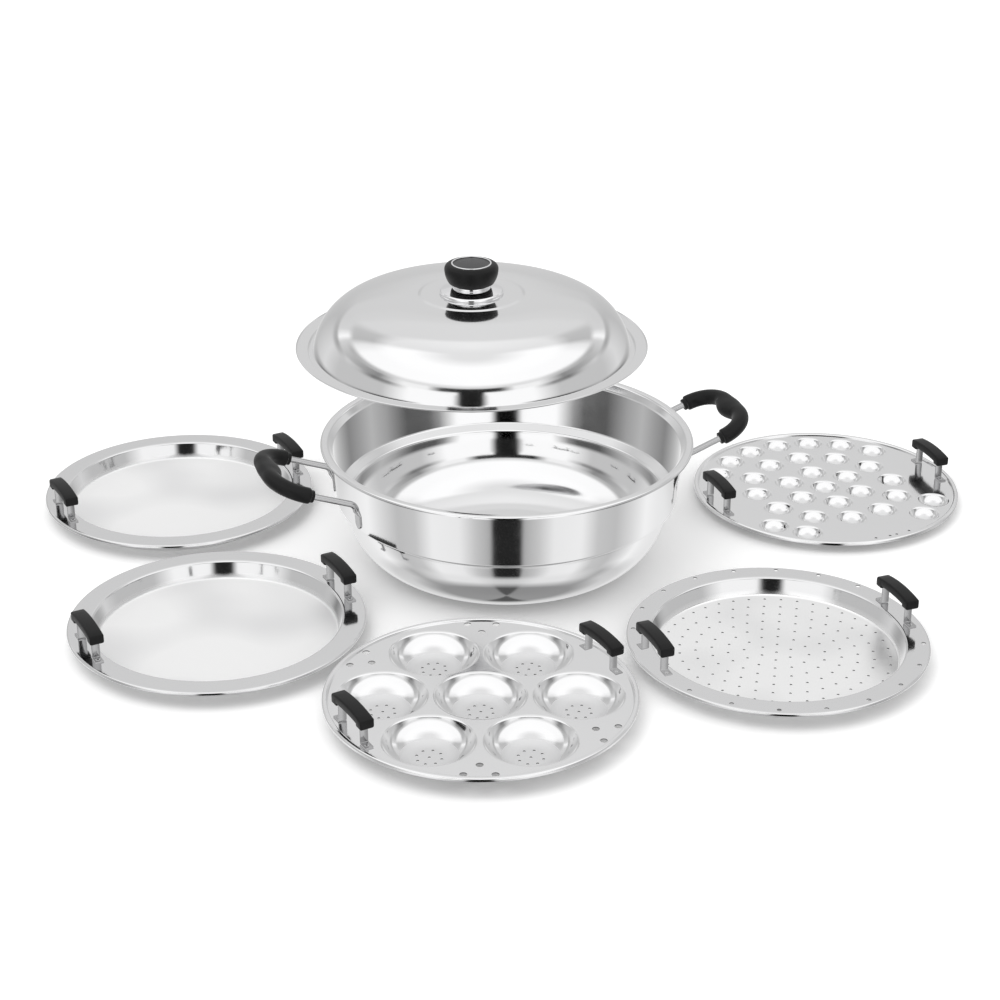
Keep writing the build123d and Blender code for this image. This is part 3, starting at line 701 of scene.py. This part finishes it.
steam = {
    "holeRadius": 1.1 * mm, "ringCount": 7, "innerCount": 6, "edgeGap": 7.6 * mm, "holeSteps": 14,
    "flangeHoleRadius": 1.9 * mm, "flangeHoleEdge": 5.5 * mm, "flangeHoleCount": 20, "flangeHoleSteps": 28,
    "clearTurn": radians(16),
}


def makeSteamTray():
    sheet, depth, radius = plate["sheet"], plate["trayDepth"], plate["radius"]
    foot = radius - plate["trayFlange"] - plate["trayLean"]
    reach = foot - steam["edgeGap"]
    floorHoles = [(0, 0)]
    for ring in range(1, steam["ringCount"] + 1):
        floorHoles += fullRing(reach * ring / steam["ringCount"], steam["innerCount"] * ring)
    pitch = 2 * pi / steam["flangeHoleCount"]
    turns = [(step + 0.5) * pitch for step in range(steam["flangeHoleCount"])]
    clear = [turn for turn in turns if min(turn % pi, pi - turn % pi) > steam["clearTurn"]]
    path = trayPath()
    # the wall runs from the floor to the flange, and the flange's own edge is spun apart from it
    levels = [index for index, point in enumerate(path) if abs(point.y - depth) < fine["tiny"]]
    wall, edge = path[1:levels[0] + 2], path[levels[-2]:]
    mesh = bmesh.new()
    wallLow, wallTop = spinSheet(mesh, wall, sheet)
    edgeLow, edgeTop = spinSheet(mesh, edge, sheet, closed=[-1])
    under, over = drillHoles(mesh, floorHoles, steam["holeRadius"], 0, sheet, steam["holeSteps"])
    fillFlat(mesh, wallLow[0], under)
    fillFlat(mesh, wallTop[0], over)
    places = ringPlaces(radius - steam["flangeHoleEdge"], clear)
    under, over = drillHoles(mesh, places, steam["flangeHoleRadius"], depth, depth + sheet,
                             steam["flangeHoleSteps"])
    fillFlat(mesh, edgeLow[0], [wallLow[-1]] + under)
    fillFlat(mesh, edgeTop[0], [wallTop[-1]] + over)
    finishPiece(mesh, "steamTray", "steam_tray_body", "sieveSteel", "steam_tray",
                platePlace("steam_tray"))


makeSteamTray()
print("steam tray made")

cavity = {"leanShare": 0.5, "lip": 1.6 * mm, "lipBend": 1.4 * mm}
bead = {"width": 4.4 * mm, "height": 2.2 * mm, "lean": 0.9 * mm, "bend": 0.85 * mm}
idli = {
    "depth": 15.5 * mm, "edgeWeb": 6.4 * mm, "web": 4.4 * mm, "round": 0.94, "steps": 96, "ringCount": 6,
    "firstTurn": radians(30), "holeRadius": 1.1 * mm, "holePitch": 10 * mm, "holeCount": 8, "holeSides": 14,
    "ventRadius": 3.0 * mm, "ventPitch": 24 * mm, "ventEdge": 8.8 * mm, "ventStepIn": 13.8 * mm,
    "ventTurns": [radians(60), radians(120), radians(240), radians(300)], "ventSides": 28,
}
idli["radius"] = (plate["radius"] - bead["width"] - idli["edgeWeb"] - idli["web"]) / 3
idli["ring"] = 2 * idli["radius"] + idli["web"]
mini = {
    "depth": 8.5 * mm, "rings": 3, "web": 6.7 * mm, "edgeWeb": 3.9 * mm, "round": 0.9, "steps": 48,
    "firstTurn": radians(-36), "innerCount": 6, "middleCount": 12, "outerTurn": radians(18),
    "outerSteps": [-8, -7, -3, -2, 2, 3, 4, 5, 6, 7, 8], "ventSteps": [-5.2, -4.8, -4.6, -4.2],
    "ventEdge": 10 * mm, "ventRadius": 1.3 * mm, "ventSides": 16, "holeRadius": 0, "holeSides": 0,
}
mini["room"] = plate["radius"] - bead["width"] - mini["edgeWeb"] - mini["rings"] * mini["web"]
mini["radius"] = mini["room"] / (2 * mini["rings"] + 1)
mini["pitch"] = 2 * mini["radius"] + mini["web"]


# a beaded disc with round cavities sunk in it; the vents go through its web, and the holes through the
# floor of each cavity
def cavityPlate(cups, places, vents, holes=()):
    sheet, depth, radius = plate["sheet"], cups["depth"], cups["radius"]
    inner, edge, crest = plate["radius"] - bead["width"], plate["radius"] - sheet, depth + bead["height"]
    rim = roundedPath([(0, depth), (inner, depth), (inner + bead["lean"], crest), (edge, crest),
                       (edge, depth)], [bead["bend"]] * 3)[1:]
    lean = cavity["leanShare"] * depth
    bend = cups["round"] * hypot(lean, depth) / tan(atan2(depth, lean) / 2)
    cup = roundedPath([(0, 0), (radius - lean, 0), (radius, depth), (radius + cavity["lip"], depth)],
                      [bend, cavity["lipBend"]])[1:]
    mesh = bmesh.new()
    rimLow, rimTop = spinSheet(mesh, rim, sheet, closed=[-1])
    under, over = drillHoles(mesh, vents, cups["ventRadius"], depth, depth + sheet, cups["ventSides"])
    for middle in places:
        low, top = spinSheet(mesh, cup, sheet, cups["steps"], middle)
        under.append(low[-1])
        over.append(top[-1])
        spots = [(middle[0] + x, middle[1] + y) for x, y in holes]
        floorUnder, floorOver = drillHoles(mesh, spots, cups["holeRadius"], 0, sheet, cups["holeSides"])
        fillFlat(mesh, low[0], floorUnder)
        fillFlat(mesh, top[0], floorOver)
    fillFlat(mesh, rimLow[0], under)
    fillFlat(mesh, rimTop[0], over)
    return mesh


def makeIdliPlate():
    places = [(0, 0)] + fullRing(idli["ring"], idli["ringCount"], idli["firstTurn"])
    holes = [(0, 0)] + fullRing(idli["holePitch"], idli["holeCount"])
    reach = plate["radius"] - idli["ventEdge"]
    spread = idli["ventPitch"] / 2 / reach
    vents = []
    for turn in idli["ventTurns"]:
        vents += ringPlaces(reach, [turn - spread, turn + spread])
        vents += ringPlaces(reach - idli["ventStepIn"], [turn])
    mesh = cavityPlate(idli, places, vents, holes)
    finishPiece(mesh, "idliPlate", "idli_plate_body", "pressedSteel", "idli_plate",
                platePlace("idli_plate"))


def makeMiniPlate():
    places = [(0, 0)]
    places += fullRing(mini["pitch"], mini["innerCount"], mini["firstTurn"])
    places += fullRing(2 * mini["pitch"], mini["middleCount"], mini["firstTurn"])
    outerTurns = [mini["outerTurn"] * step for step in mini["outerSteps"]]
    places += ringPlaces(mini["rings"] * mini["pitch"], outerTurns)
    ventTurns = [mini["outerTurn"] * step for step in mini["ventSteps"]]
    vents = ringPlaces(plate["radius"] - mini["ventEdge"], ventTurns)
    mesh = cavityPlate(mini, places, vents)
    finishPiece(mesh, "miniIdliPlate", "mini_idli_plate_body", "pressedSteel",
                "mini_idli_plate", platePlace("mini_idli_plate"))


makeIdliPlate()
makeMiniPlate()
print("cavity plates made")


bracket = {
    "reach": 112 * mm, "width": 7 * mm, "thickness": 1.2 * mm, "spacing": 38 * mm, "height": 21 * mm,
    "foot": 8.5 * mm, "bend": 1.6 * mm, "edgeRound": 0.3 * mm,
}
lifter = {
    "length": 50 * mm, "width": 12 * mm, "endTop": 23.5 * mm, "endDepth": 8 * mm, "crown": 26 * mm,
    "thickness": 7.5 * mm, "land": 8 * mm, "landRise": 2.2 * mm, "stepRun": 0.8 * mm, "steps": 16,
    "round": 1.5 * mm, "roundLoss": 0.4, "endRound": 0.9 * mm,
    # shares of the end's round: how far in from the end, and how much the section is drawn in there
    "endStops": [(0.0, 1.0), (0.15, 0.55), (0.5, 0.18), (1.0, 0.0)],
}
rivet = {
    "radius": 1.4 * mm, "headRadius": 2.6 * mm, "headHeight": 1.0 * mm, "headEdge": 0.15,
    "tailRadius": 2.3 * mm, "tailHeight": 0.8 * mm, "tailFlat": 0.8, "tailEdge": 0.6, "steps": 28,
    "domeSteps": 6,
}
plateSeats = {name: (mini["depth"] if name == "mini_idli_plate" else plate["trayDepth"]) + plate["sheet"]
              for name in plateNames}


# a rounded block's outline between two heights
def blockSection(halfWide, low, high, bend, steps=4):
    section = []
    corners = ((halfWide - bend, high - bend, 0), (-halfWide + bend, high - bend, 1),
               (-halfWide + bend, low + bend, 2), (halfWide - bend, low + bend, 3))
    for wide, tall, quarter in corners:
        for step in range(steps + 1):
            turn = (quarter + step / steps) * pi / 2
            section.append((wide + bend * cos(turn), tall + bend * sin(turn)))
    return section


def makeBracket(name, hand, way, seat):
    leg = bracket["spacing"] / 2 - bracket["thickness"]
    end = bracket["spacing"] / 2 + bracket["foot"]
    crest = bracket["height"] - bracket["thickness"]
    path = roundedPath([(end, 0), (leg, 0), (leg, crest), (-leg, crest), (-leg, 0), (-end, 0)],
                       [bracket["bend"]] * 4, fine["smallTurn"])
    outer = besidePath(path, -bracket["thickness"])
    section = blockSection(bracket["width"] / 2, 0, bracket["thickness"], bracket["edgeRound"], 2)
    places = []
    for inside, outside in zip(path, outer):
        upward = (outside - inside).normalized()
        places.append((Vector((way * bracket["reach"], way * inside.x, seat + inside.y)),
                       Vector((way, 0, 0)), Vector((0, way * upward.x, upward.y))))
    mesh = bmesh.new()
    sweepSections(mesh, places, [section] * len(places))
    finishPiece(mesh, f"{name}_{hand}Bracket", name + "_body", "fittingSteel",
                f"{name}_{hand}_bracket", platePlace(name))


# height of the grip's top or underside along an arc through its ends and its middle
def archHeight(along, half, endHeight, middleHeight):
    rise = middleHeight - endHeight
    radius = (half * half + rise * rise) / (2 * rise)
    return middleHeight - radius + (radius * radius - along * along) ** 0.5


def makeLifter(name, hand, way, seat):
    half = lifter["length"] / 2
    land = half - lifter["land"]
    endLow = lifter["endTop"] - lifter["endDepth"]
    ends = [(half - inward * lifter["endRound"], inset) for inward, inset in lifter["endStops"]]
    ends += [(land + lifter["stepRun"], 0.0), (land, 0.0)]
    stops = ends + [(land * (1 - 2 * step / lifter["steps"]), 0.0) for step in range(1, lifter["steps"])]
    stops += [(-along, inset) for along, inset in reversed(ends)]
    mesh = bmesh.new()
    places, sections = [], []
    for along, inset in stops:
        top = archHeight(along, half, lifter["endTop"], lifter["crown"])
        if abs(along) > land + lifter["stepRun"] / 2:
            low = endLow
        else:
            low = archHeight(along, land, endLow + lifter["landRise"], lifter["crown"] - lifter["thickness"])
        shrink = inset * lifter["endRound"]
        sections.append(blockSection(lifter["width"] / 2 - shrink, low + shrink, top - shrink,
                                     lifter["round"] * (1 - lifter["roundLoss"] * inset)))
        places.append((Vector((way * bracket["reach"], way * along, seat)), Vector((way, 0, 0)),
                       Vector((0, 0, 1))))
    sweepSections(mesh, places, sections)
    finishPiece(mesh, f"{name}_{hand}Grip", name + "_body", "gripPlastic",
                f"{name}_{hand}_grip", platePlace(name), fine["gripAngle"])


def makeRivets(name, seat):
    spread = bracket["spacing"] / 2 + bracket["foot"] / 2
    foot = seat + bracket["thickness"]
    under = seat - plate["sheet"]
    tail = under - rivet["tailHeight"]
    outline = [(0, tail), (rivet["tailRadius"] * rivet["tailFlat"], tail),
               (rivet["tailRadius"], under - rivet["tailHeight"] * rivet["tailEdge"]),
               (rivet["tailRadius"], under), (rivet["radius"], under), (rivet["radius"], foot),
               (rivet["headRadius"], foot)]
    for step in range(rivet["domeSteps"] + 1):
        turn = pi / 2 * step / rivet["domeSteps"]
        rise = rivet["headEdge"] + (1 - rivet["headEdge"]) * sin(turn)
        outline.append((rivet["headRadius"] * cos(turn), foot + rivet["headHeight"] * rise))
    outline[-1] = (0, outline[-1][1])
    mesh = bmesh.new()
    for way in (1, -1):
        for side in (1, -1):
            spinPath(mesh, outline, rivet["steps"], (way * bracket["reach"], side * spread))
    finishPiece(mesh, f"{name}_rivetHeads", name + "_body", "fittingSteel",
                f"{name}_rivets", platePlace(name))


for name in plateNames:
    for hand, way in (("right", 1), ("left", -1)):
        makeBracket(name, hand, way, plateSeats[name])
        makeLifter(name, hand, way, plateSeats[name])
    makeRivets(name, plateSeats[name])
print("plate handles made")


handle = {
    "turn": radians(19), "rodRadius": 2.75 * mm, "legSpacing": 83 * mm, "footLength": 23 * mm,
    "footWidth": 9.5 * mm, "footThickness": 2.4 * mm, "footMargin": 4 * mm, "weldGap": 0.05 * mm,
    "reach": 66.5 * mm, "rise": radians(20.2), "rodBend": 8 * mm, "loopBend": 27 * mm, "straight": 1.8 * mm,
    "padLength": 12 * mm, "padBlend": 7 * mm, "footTip": 0.3, "legSamples": 22, "bendTurn": radians(6),
}
grip = {
    "thickness": 14 * mm, "width": 15 * mm, "swellThickness": 16 * mm, "swellWidth": 21 * mm,
    "swellInward": 2 * mm, "swellLength": 44 * mm, "collarRadius": 5.4 * mm, "collarLength": 3 * mm,
    "collarStops": [(0, 0.88), (0.12, 1.0), (1.0, 1.0)], "endRound": 2.0 * mm,
    "endStops": (0.0, 0.25, 0.6, 1.0), "endClear": 1.6, "dishDepth": 1.0 * mm, "dishLength": 15 * mm,
    "dishWidth": 7 * mm, "dishEdge": 1.4, "bendTurn": radians(5), "sectionGap": 2.2 * mm,
}


def wallRadius(height):
    share = (height - pot["ledgeHeight"]) / (pot["bandTop"] - pot["ledgeHeight"])
    return pot["bandLowRadius"] + pot["bandTaper"] * share


footLow = pot["ledgeHeight"] + handle["footMargin"]
footTop = footLow + handle["footLength"]
legTurn = handle["legSpacing"] / 2 / (wallRadius(footTop) + handle["rodRadius"])
legOut = Vector((cos(legTurn), sin(legTurn), 0))


def legPoint(height, outward):
    return legOut * (wallRadius(height) + handle["weldGap"] + outward) + Vector((0, 0, height))


def armPoint(outward):
    knee = legPoint(footTop, handle["rodRadius"])
    return knee + Vector((outward, 0, outward * tan(handle["rise"])))


armOut = Vector((cos(handle["rise"]), 0, sin(handle["rise"])))
armUp = Vector((-sin(handle["rise"]), 0, cos(handle["rise"])))


# half of the handle is worked out, and the other half mirrors it
def sweepMirrored(mesh, half):
    flip = Matrix.Diagonal((1, -1, 1))
    whole = half + [(flip @ point, flip @ upward, section) for point, upward, section in reversed(half[:-1])]
    places = []
    for index, (point, upward, section) in enumerate(whole):
        along = whole[min(index + 1, len(whole) - 1)][0] - whole[max(index - 1, 0)][0]
        along.normalize()
        upward = (upward - along * upward.dot(along)).normalized()
        places.append((point, along.cross(upward), upward))
    sweepSections(mesh, places, [section for point, upward, section in whole])


def makeRod(hand, turn):
    corner = armPoint(handle["reach"])
    line = roundedPath([legPoint(footLow, handle["rodRadius"]), legPoint(footTop, handle["rodRadius"]),
                        corner, Vector((corner.x, 0, corner.z))],
                       [handle["rodBend"], handle["loopBend"]], handle["bendTurn"])
    half = []
    # up the leg the flat, round-ended foot turns into round rod
    for step in range(handle["legSamples"]):
        height = footLow + (line[1].z - footLow) * step / handle["legSamples"]
        risen = height - footLow
        blend = smooth((risen - handle["padLength"]) / handle["padBlend"])
        wide = handle["footWidth"] / 2 * (1 - blend) + handle["rodRadius"] * blend
        thick = handle["footThickness"] / 2 * (1 - blend) + handle["rodRadius"] * blend
        short = max(1 - risen / (handle["footWidth"] / 2), 0)
        wide *= max((1 - short * short) ** 0.5, handle["footTip"])
        half.append((legPoint(height, thick), -legOut, ovalSection(wide, thick, 4 - 2 * blend)))
    bendEnd = len([point for point in line if point.z < armPoint(handle["rodBend"]).z])
    for index, point in enumerate(line[1:], 1):
        blend = smooth((index - 1) / max(bendEnd - 2, 1))
        upward = (-legOut * (1 - blend) + armUp * blend).normalized()
        half.append((point, upward, ovalSection(handle["rodRadius"], handle["rodRadius"])))
    mesh = bmesh.new()
    sweepMirrored(mesh, half)
    finishPiece(mesh, f"{hand}HandleRod", "pot", "fittingSteel", f"{hand}_handle_rod",
                Matrix.Rotation(turn, 4, "Z"))


def makeGrip(hand, turn):
    corner = armPoint(handle["reach"])
    middle = Vector((corner.x, 0, corner.z))
    start = handle["reach"] - (handle["loopBend"] + handle["straight"]) * cos(handle["rise"])
    collarStart = armPoint(start - grip["collarLength"] * cos(handle["rise"]))
    line = roundedPath([armPoint(start), corner, middle], [handle["loopBend"]], grip["bendTurn"])
    half = []
    along = (line[0] - collarStart).normalized()
    for share, size in grip["collarStops"]:
        neck = grip["collarRadius"] * size
        half.append((collarStart.lerp(line[0], share), armUp, ovalSection(neck, neck)))
    # the end face swells from the collar to the grip's own oval
    for share in grip["endStops"]:
        size = 1 - (1 - (share * (2 - share)) ** 0.5) * grip["endRound"] / (grip["width"] / 2)
        half.append((line[0] + along * grip["endRound"] * share, armUp,
                     ovalSection(grip["width"] / 2 * size, grip["thickness"] / 2 * size)))
    dense = []
    for here, there in zip(line, line[1:]):
        count = max(1, ceil((there - here).length / grip["sectionGap"]))
        dense += [here.lerp(there, step / count) for step in range(count)]
    dense.append(line[-1])
    for point in dense:
        if (point - line[0]).length < grip["endClear"] * grip["endRound"]:
            continue
        swell = smooth(1 - abs(point.y) / (grip["swellLength"] / 2))
        wide = grip["width"] + swell * (grip["swellWidth"] - grip["width"])
        thick = grip["thickness"] + swell * (grip["swellThickness"] - grip["thickness"])
        inward = armOut * swell * grip["swellInward"]
        half.append((point - inward, armUp, ovalSection(wide / 2, thick / 2)))
    mesh = bmesh.new()
    sweepMirrored(mesh, half)
    # thumb dish on the top of the swelling
    for vert in mesh.verts:
        away = vert.co - middle
        across = away.dot(armOut) + grip["swellInward"]
        if away.dot(armUp) > 0:
            reach = hypot(away.y / grip["dishLength"], across / grip["dishWidth"])
            vert.co -= armUp * grip["dishDepth"] * smooth(grip["dishEdge"] - reach)
    finishPiece(mesh, f"{hand}PotGrip", "pot", "gripPlastic", f"{hand}_grip",
                Matrix.Rotation(turn, 4, "Z"), fine["gripAngle"])


for hand, turn in (("right", handle["turn"]), ("left", handle["turn"] + pi)):
    makeRod(hand, turn)
    makeGrip(hand, turn)
print("pot handles made")


knob = {
    "baseRadius": 20.5 * mm, "footRound": 1.4 * mm, "radius": 24.7 * mm, "height": 18.4 * mm, "widest": 0.72,
    "ringRadius": 18.5 * mm, "ringWidth": 1.6 * mm, "ringHeight": 2.2 * mm, "discDrop": 0.5 * mm,
    "discThickness": 1.6 * mm, "gap": 0.05 * mm, "ringRound": 0.5 * mm, "steps": 96, "sideSteps": 12,
    "shoulderSteps": 10, "capRound": 0.5 * mm, "capCrown": 0.35 * mm, "capSteps": 8,
}
collar = {
    "baseRadius": 27.5 * mm, "rimRadius": 30 * mm, "neckRadius": 18.8 * mm, "waistRadius": 17.2 * mm,
    "waistHeight": 5.4 * mm, "rimHeight": 1.6 * mm, "height": 9.8 * mm, "sheet": 1.0 * mm, "bend": 1.2 * mm,
    "hole": 2.55 * mm,
}
collarPlace = lidPlace @ Matrix.Translation((0, 0, lid["domeHeight"] + lid["sheet"]))
knobPlace = collarPlace @ Matrix.Translation((0, 0, collar["height"]))


def makeCollar():
    skirt = collar["rimRadius"] - collar["sheet"] + collar["bend"]
    top = collar["height"] - collar["sheet"]
    path = roundedPath([(collar["hole"], top), (collar["neckRadius"] - collar["sheet"], top),
                        (collar["waistRadius"] - collar["sheet"], collar["waistHeight"]),
                        (skirt, collar["rimHeight"]), (collar["baseRadius"], 0)], [collar["bend"]] * 3)
    mesh = bmesh.new()
    spinSheet(mesh, path, collar["sheet"], knob["steps"], closed=[0, -1])
    for vert in mesh.verts:
        vert.co.z = max(vert.co.z, 0)
    finishPiece(mesh, "knobCollar", "lid", "brightChrome", "knob_collar", collarPlace)


def makeKnob():
    widest = knob["height"] * knob["widest"]
    top = knob["height"]
    # the side is one arc that stands upright at the widest point
    fall = knob["radius"] - knob["baseRadius"]
    bulge = (fall * fall + widest * widest) / (2 * fall)
    side = []
    for step in range(knob["sideSteps"] + 1):
        height = widest * step / knob["sideSteps"]
        side.append((knob["radius"] - bulge + (bulge * bulge - (widest - height) ** 2) ** 0.5, height))
    outline = roundedPath([(0, 0)] + side[:2], [knob["footRound"]], fine["smallTurn"], fine["smallGuard"])
    outline += side[2:]
    shoulder = knob["radius"] - knob["ringRadius"]
    for step in range(1, knob["shoulderSteps"] + 1):
        turn = pi / 2 * step / knob["shoulderSteps"]
        outline.append((knob["ringRadius"] + shoulder * cos(turn), widest + (top - widest) * sin(turn)))
    outline += [(knob["ringRadius"], top - knob["ringHeight"]), (0, top - knob["ringHeight"])]
    mesh = bmesh.new()
    spinPath(mesh, outline, knob["steps"])
    finishPiece(mesh, "knobBody", "lid", "gripPlastic", "knob", knobPlace)


def makeKnobRing():
    outer = knob["ringRadius"] - knob["gap"]
    inner = knob["ringRadius"] - knob["ringWidth"]
    low = knob["height"] - knob["ringHeight"]
    top = knob["height"] + knob["discDrop"]
    path = roundedPath([(outer, low), (outer, top), (inner, top), (inner, low)], [knob["ringRound"]] * 2,
                       fine["smallTurn"], fine["smallGuard"])
    mesh = bmesh.new()
    rings = spinPath(mesh, path, knob["steps"])
    bridge(mesh, rings[-1], rings[0])
    finishPiece(mesh, "knobRing", "lid", "brightChrome", "knob_ring", knobPlace)


def makeKnobCap():
    radius = knob["ringRadius"] - knob["ringWidth"] - knob["gap"]
    low = knob["height"] - knob["ringHeight"] + knob["discDrop"]
    top = low + knob["discThickness"]
    corner = knob["capRound"] - knob["capCrown"]
    outline = [(0, low), (radius, low), (radius, top - knob["capRound"]), (radius - corner, top - corner)]
    for step in range(knob["capSteps"] + 1):
        share = 1 - step / knob["capSteps"]
        outline.append(((radius - knob["capRound"]) * share, top - knob["capCrown"] * share ** 2))
    mesh = bmesh.new()
    spinPath(mesh, outline, knob["steps"])
    finishPiece(mesh, "knobCap", "lid", "capPlastic", "knob_disc", knobPlace)


makeCollar()
makeKnob()
makeKnobRing()
makeKnobCap()
print("knob made")
